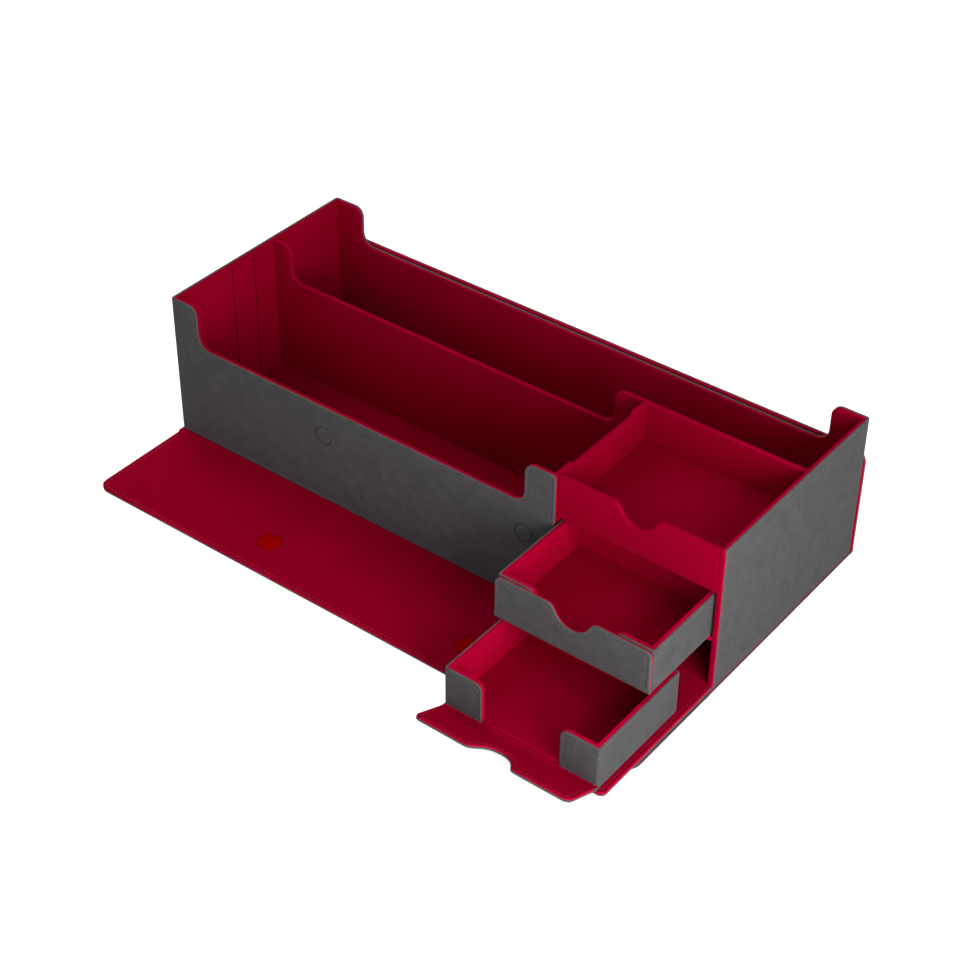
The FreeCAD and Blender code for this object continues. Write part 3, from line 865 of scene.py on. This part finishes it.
for drawer in ("upper_drawer", "lower_drawer"):
    flap = f"{drawer}_flap"
    tray_low, tray_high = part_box(f"{drawer}_tray")
    cloth_low, cloth_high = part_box(f"{drawer}_lining")
    middle = (tray_low.x + tray_high.x) / 2
    front_places = [across for across, up in outlines(f"{drawer}_tray", FRONT)[0][0]]
    gap = (max(x for x in front_places if x < middle), min(x for x in front_places if x > middle))
    skin = cloth_low.y - tray_low.y
    place_side, side_cuts, side_starts = walk(drawer_path(tray_low, tray_high, gap), DRAWER_BEND)
    side_outline = stub_outline(side_starts[-1], tray_low.z, tray_high.z)
    side_rows = edge_rows(-skin, 0, BACK_ROUND, SUEDE_ROUND, True)
    bottom_outline = rectangle(tray_low.x + skin, -tray_high.y + skin, tray_high.x - skin, -tray_low.y)
    bottom_rows = edge_rows(-tray_low.z - skin, -tray_low.z, BACK_ROUND, BACK_ROUND, False)
    piece(f"{drawer}_suede",
          [board_mesh(side_outline, side_rows, place_side, side_cuts),
           board_mesh(bottom_outline, bottom_rows, back_from(UNDER))],
          suede, drawer, [f"{drawer}_tray"])
    place_cloth, cloth_cuts, cloth_starts = walk(drawer_path(cloth_low, cloth_high, gap), 0)
    cloth_outline = stub_outline(cloth_starts[-1], cloth_low.z, cloth_high.z)
    cloth_rows = edge_rows(-DRAWER_LINING, 0, LINING_ROUND, BACK_ROUND, False)
    floor_outline = rectangle(cloth_low.x, cloth_low.y, cloth_high.x, cloth_high.y)
    floor_rows = backing_rows(
        cloth_low.z + BACKING_INSET, cloth_low.z + DRAWER_LINING, BACK_ROUND, 0)
    piece(f"{drawer}_cloth",
          [board_mesh(cloth_outline, cloth_rows, place_cloth, cloth_cuts),
           board_mesh(floor_outline, floor_rows, back_from(TOP))],
          red, drawer, [f"{drawer}_lining"])
    piece(f"{drawer}_thread", [stitches(side_outline, 0, place_side)], grey_thread, drawer)
    angle = -math.radians(flap_joints[flap]["range_deg"][0])
    turn = Matrix.Rotation(-angle, 3, "X")
    suede_board(flap, FRONT @ turn, flap, foot_free=True)
    lining_board(f"{flap}_lining", BACK @ turn, flap, sewn=True, foot_free=True)
    fold(f"{drawer}_hinge", -1, QUARTER - angle)

# Floor, light and camera
# A pale floor under soft studio light: a lamp close by at the right, a high one at the left, a weak one
# in front, two behind, and light from all round. The camera looks from where the photograph was taken.
WHITE = (1, 1, 1, 1)
FLOOR_REACH = 6
FLOOR_LEVEL = -0.0002
FLOOR_COLOUR = (0.8, 0.8, 0.8, 1)
FLOOR_GLOW = 0.78
SKY_LIGHT = 0.21


def seen_by_camera(tree, operation, amount, strength):
    """Makes a surface brighter where the camera sees it than it is as a light on the object."""
    glow = tree.nodes.new("ShaderNodeMath")
    glow.operation = operation
    glow.inputs[1].default_value = amount
    tree.links.new(tree.nodes.new("ShaderNodeLightPath").outputs["Is Camera Ray"], glow.inputs[0])
    tree.links.new(glow.outputs["Value"], strength)


floor_corners = rectangle(-FLOOR_REACH, -FLOOR_REACH, FLOOR_REACH, FLOOR_REACH)
floor_mesh = bpy.data.meshes.new("floor")
floor_mesh.from_pydata([(x, y, FLOOR_LEVEL) for x, y in floor_corners], [], [(0, 1, 2, 3)])
floor = in_scene("floor", floor_mesh)
floor_paint, floor_surface = new_finish("pale_floor")
floor_surface.inputs["Base Color"].default_value = FLOOR_COLOUR
floor_surface.inputs["Roughness"].default_value = 1
floor_surface.inputs["Emission Color"].default_value = WHITE
seen_by_camera(floor_paint.node_tree, "MULTIPLY", FLOOR_GLOW, floor_surface.inputs["Emission Strength"])
floor_mesh.materials.append(floor_paint)

world = bpy.data.worlds.new("studio")
bpy.context.scene.world = world
world.use_nodes = True
sky = world.node_tree.nodes["Background"]
sky.inputs["Color"].default_value = WHITE
seen_by_camera(world.node_tree, "MAXIMUM", SKY_LIGHT, sky.inputs["Strength"])

# Each lamp's name, its place and width in metres, and its power in watts
LAMPS = (
    ("key_lamp", (0.75, -0.4, 0.3), 0.5, 6.2),
    ("high_lamp", (-0.9, 0.1, 1.0), 1.0, 6.6),
    ("front_lamp", (0.25, -1.3, 0.4), 0.8, 1.7),
    ("back_lamp", (-0.9, 0.9, 0.7), 1.0, 3),
    ("low_back_lamp", (0.3, 1.5, 0.35), 0.8, 3),
)
for name, place, width, power in LAMPS:
    lamp = bpy.data.lights.new(name, "AREA")
    lamp.size = width
    lamp.energy = power
    lit = in_scene(name, lamp)
    lit.location = place
    lit.rotation_euler = (-Vector(place)).to_track_quat("-Z", "Y").to_euler()

CAMERA_PLACE = (0.6579, -0.8911, 0.8641)
CAMERA_AZIMUTH = math.radians(37.3)
CAMERA_ELEVATION = math.radians(37.7)
CAMERA_ROLL = math.radians(0.57)
LENS_MILLIMETRES = 78.99
SENSOR_MILLIMETRES = 36
lens = bpy.data.cameras.new("camera")
lens.lens = LENS_MILLIMETRES
lens.sensor_width = SENSOR_MILLIMETRES
camera = in_scene("camera", lens)
camera.location = CAMERA_PLACE
behind = Vector((
    math.sin(CAMERA_AZIMUTH) * math.cos(CAMERA_ELEVATION),
    -math.cos(CAMERA_AZIMUTH) * math.cos(CAMERA_ELEVATION),
    math.sin(CAMERA_ELEVATION)))
level_view = (-behind).to_track_quat("-Z", "Y").to_matrix()
camera.rotation_euler = (level_view @ Matrix.Rotation(CAMERA_ROLL, 3, "Z")).to_euler()
bpy.context.scene.camera = camera
bpy.context.scene.view_settings.view_transform = "Standard"

bpy.context.view_layer.update()
